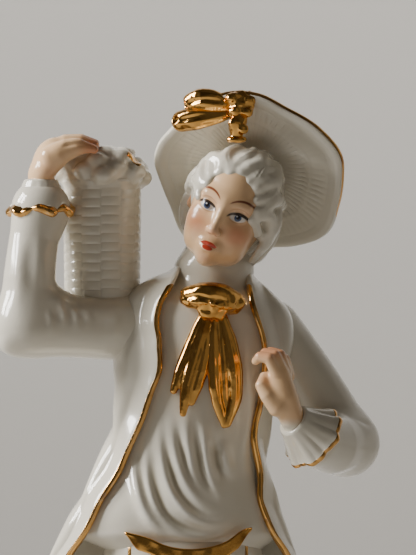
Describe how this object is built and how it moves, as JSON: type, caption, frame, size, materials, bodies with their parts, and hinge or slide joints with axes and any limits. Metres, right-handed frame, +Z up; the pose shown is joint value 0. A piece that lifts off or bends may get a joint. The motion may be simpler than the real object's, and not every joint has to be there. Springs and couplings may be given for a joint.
{
  "type": "porcelain figurine",
  "caption": "Glazed porcelain figurine of a gentleman in a cutaway coat and brimmed hat, a basket on one shoulder, gilded bows and edges, on a round base.",
  "frame": {"origin": "centre of the base's flat underside", "axes": "+Z up the figure, the figure faces -Y, its right hand and the basket are on -X"},
  "size_m": [0.0953, 0.074, 0.2453],
  "materials": {
    "glazed_porcelain": "gloss",
    "flesh_glaze": "gloss",
    "bright_gold": "fired bright gold over glaze"
  },
  "bodies": {
    "root": {"base": "glazed_porcelain", "basket": "glazed_porcelain", "basket_heap": "glazed_porcelain", "breeches": "glazed_porcelain", "coat_body": "glazed_porcelain", "coat_skirt": "glazed_porcelain", "cuff_left": "glazed_porcelain", "cuff_right": "glazed_porcelain", "hair": "glazed_porcelain", "hat_brim": "glazed_porcelain", "hat_crown": "glazed_porcelain", "shoe_left": "glazed_porcelain", "shoe_right": "glazed_porcelain", "sleeve_left": "glazed_porcelain", "sleeve_right": "glazed_porcelain", "stocking_left": "glazed_porcelain", "stocking_right": "glazed_porcelain", "tree_stump": "glazed_porcelain", "waistcoat": "glazed_porcelain", "head": "flesh_glaze", "hand_left": "flesh_glaze", "hand_right": "flesh_glaze", "hat_bow_drop": "bright_gold", "hat_bow_knot": "bright_gold", "hat_bow_loop_lower": "bright_gold", "hat_bow_loop_upper": "bright_gold", "knee_band_left": "bright_gold", "knee_band_right": "bright_gold", "neck_bow": "bright_gold", "neck_bow_tail_left": "bright_gold", "neck_bow_tail_right": "bright_gold", "shoe_buckle_left": "bright_gold", "shoe_buckle_right": "bright_gold", "waistband": "bright_gold"}
  },
  "joints": []
}
